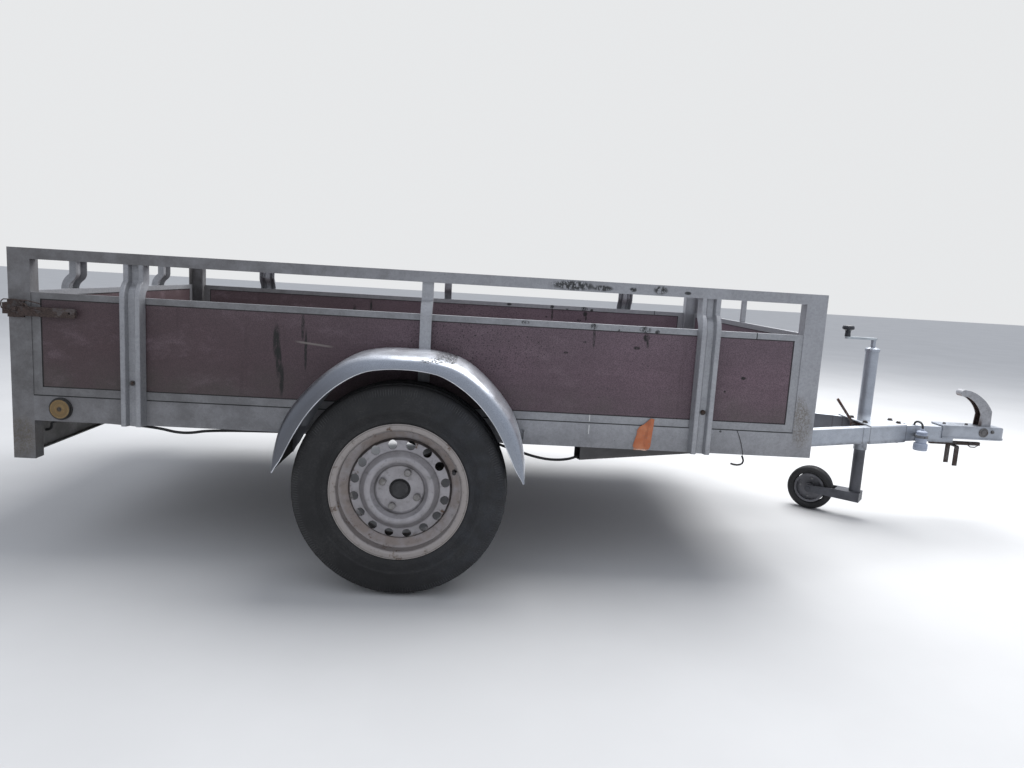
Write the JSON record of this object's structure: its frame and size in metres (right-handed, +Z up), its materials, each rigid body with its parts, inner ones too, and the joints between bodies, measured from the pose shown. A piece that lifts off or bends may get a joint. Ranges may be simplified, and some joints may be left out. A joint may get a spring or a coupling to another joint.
{
  "type": "utility trailer",
  "caption": "Single-axle utility trailer with plywood sides in a galvanised frame, top rails, drop tailgate, round mudguards, V drawbar and jockey wheel.",
  "frame": {"origin": "on the ground, under the middle of the trailer's overall length and width", "axes": "+X forward to the coupling, +Y to the trailer's left, +Z up"},
  "size_m": [3.389, 1.824, 0.86],
  "materials": {
    "galvanised": "dull hot-dip galvanised",
    "zinc_plated": "dull zinc plating",
    "plywood": "film-faced plywood, satin",
    "tyre": "dusty black rubber",
    "wheel_silver": "dull silver paint with rust stains",
    "lamp_red": "red lens",
    "reflector_amber": "amber lens",
    "black_plastic": "matt black",
    "grey_plastic": "matt grey",
    "cable_black": "matt black sheath",
    "rusty_steel": "rust-brown steel",
    "dark_steel": "weathered dark steel"
  },
  "bodies": {
    "chassis": {"axle_beam": "galvanised", "axle_saddles": "galvanised", "corner_posts": "galvanised", "coupling_handle": "zinc_plated", "coupling_head": "zinc_plated", "cross_members": "galvanised", "drawbar_arms": "galvanised", "drawbar_plates": "galvanised", "floor": "plywood", "hinge_brackets": "galvanised", "jockey_clamp": "rusty_steel", "jockey_crank": "rusty_steel", "jockey_knob": "black_plastic", "jockey_tube": "galvanised", "lamp_board": "galvanised", "latches": "rusty_steel", "mudguard_brackets": "galvanised", "mudguards": "galvanised", "nose_bracket": "dark_steel", "panel_channels": "galvanised", "panels": "plywood", "plug": "black_plastic", "plug_holder": "grey_plastic", "rear_lamps": "lamp_red", "reflector_bases": "black_plastic", "side_rails": "galvanised", "side_reflectors": "reflector_amber", "stakes": "galvanised", "swing_arms": "dark_steel", "top_rails": "galvanised", "wiring_loom": "cable_black"},
    "tailgate": {"tailgate_frame": "galvanised", "tailgate_panel": "plywood", "tailgate_rail": "galvanised", "tailgate_stakes": "galvanised", "tailgate_hinges": "galvanised"},
    "wheel_left": {"rim_left": "wheel_silver", "tyre_left": "tyre", "hub_left": "dark_steel"},
    "wheel_right": {"rim_right": "wheel_silver", "tyre_right": "tyre", "hub_right": "dark_steel"},
    "jockey_leg": {"jockey_leg": "galvanised"},
    "jockey_fork": {"jockey_fork": "galvanised"},
    "jockey_wheel": {"jockey_hub": "grey_plastic", "jockey_tyre": "tyre"}
  },
  "joints": [
    {"name": "tailgate_hinge", "type": "hinge", "parent": "chassis", "child": "tailgate", "pos_m": [-1.685, 0, 0.44], "axis": [0, -1, 0], "range_deg": [0, 180]},
    {"name": "wheel_left_spin", "type": "hinge", "parent": "chassis", "child": "wheel_left", "pos_m": [-0.552, 0.824, 0.286], "axis": [0, 1, 0], "continuous": true},
    {"name": "wheel_right_spin", "type": "hinge", "parent": "chassis", "child": "wheel_right", "pos_m": [-0.552, -0.824, 0.286], "axis": [0, 1, 0], "continuous": true},
    {"name": "jockey_slide", "type": "slide", "parent": "chassis", "child": "jockey_leg", "axis": [0, 0, 1], "range_m": [-0.08, 0.11]},
    {"name": "jockey_swivel", "type": "hinge", "parent": "jockey_leg", "child": "jockey_fork", "pos_m": [1.14, 0, 0.1], "axis": [0, 0, 1], "continuous": true},
    {"name": "jockey_wheel_spin", "type": "hinge", "parent": "jockey_fork", "child": "jockey_wheel", "pos_m": [1.00998, 0.10158, 0.087], "axis": [-0.6157, -0.788, 0], "continuous": true}
  ]
}
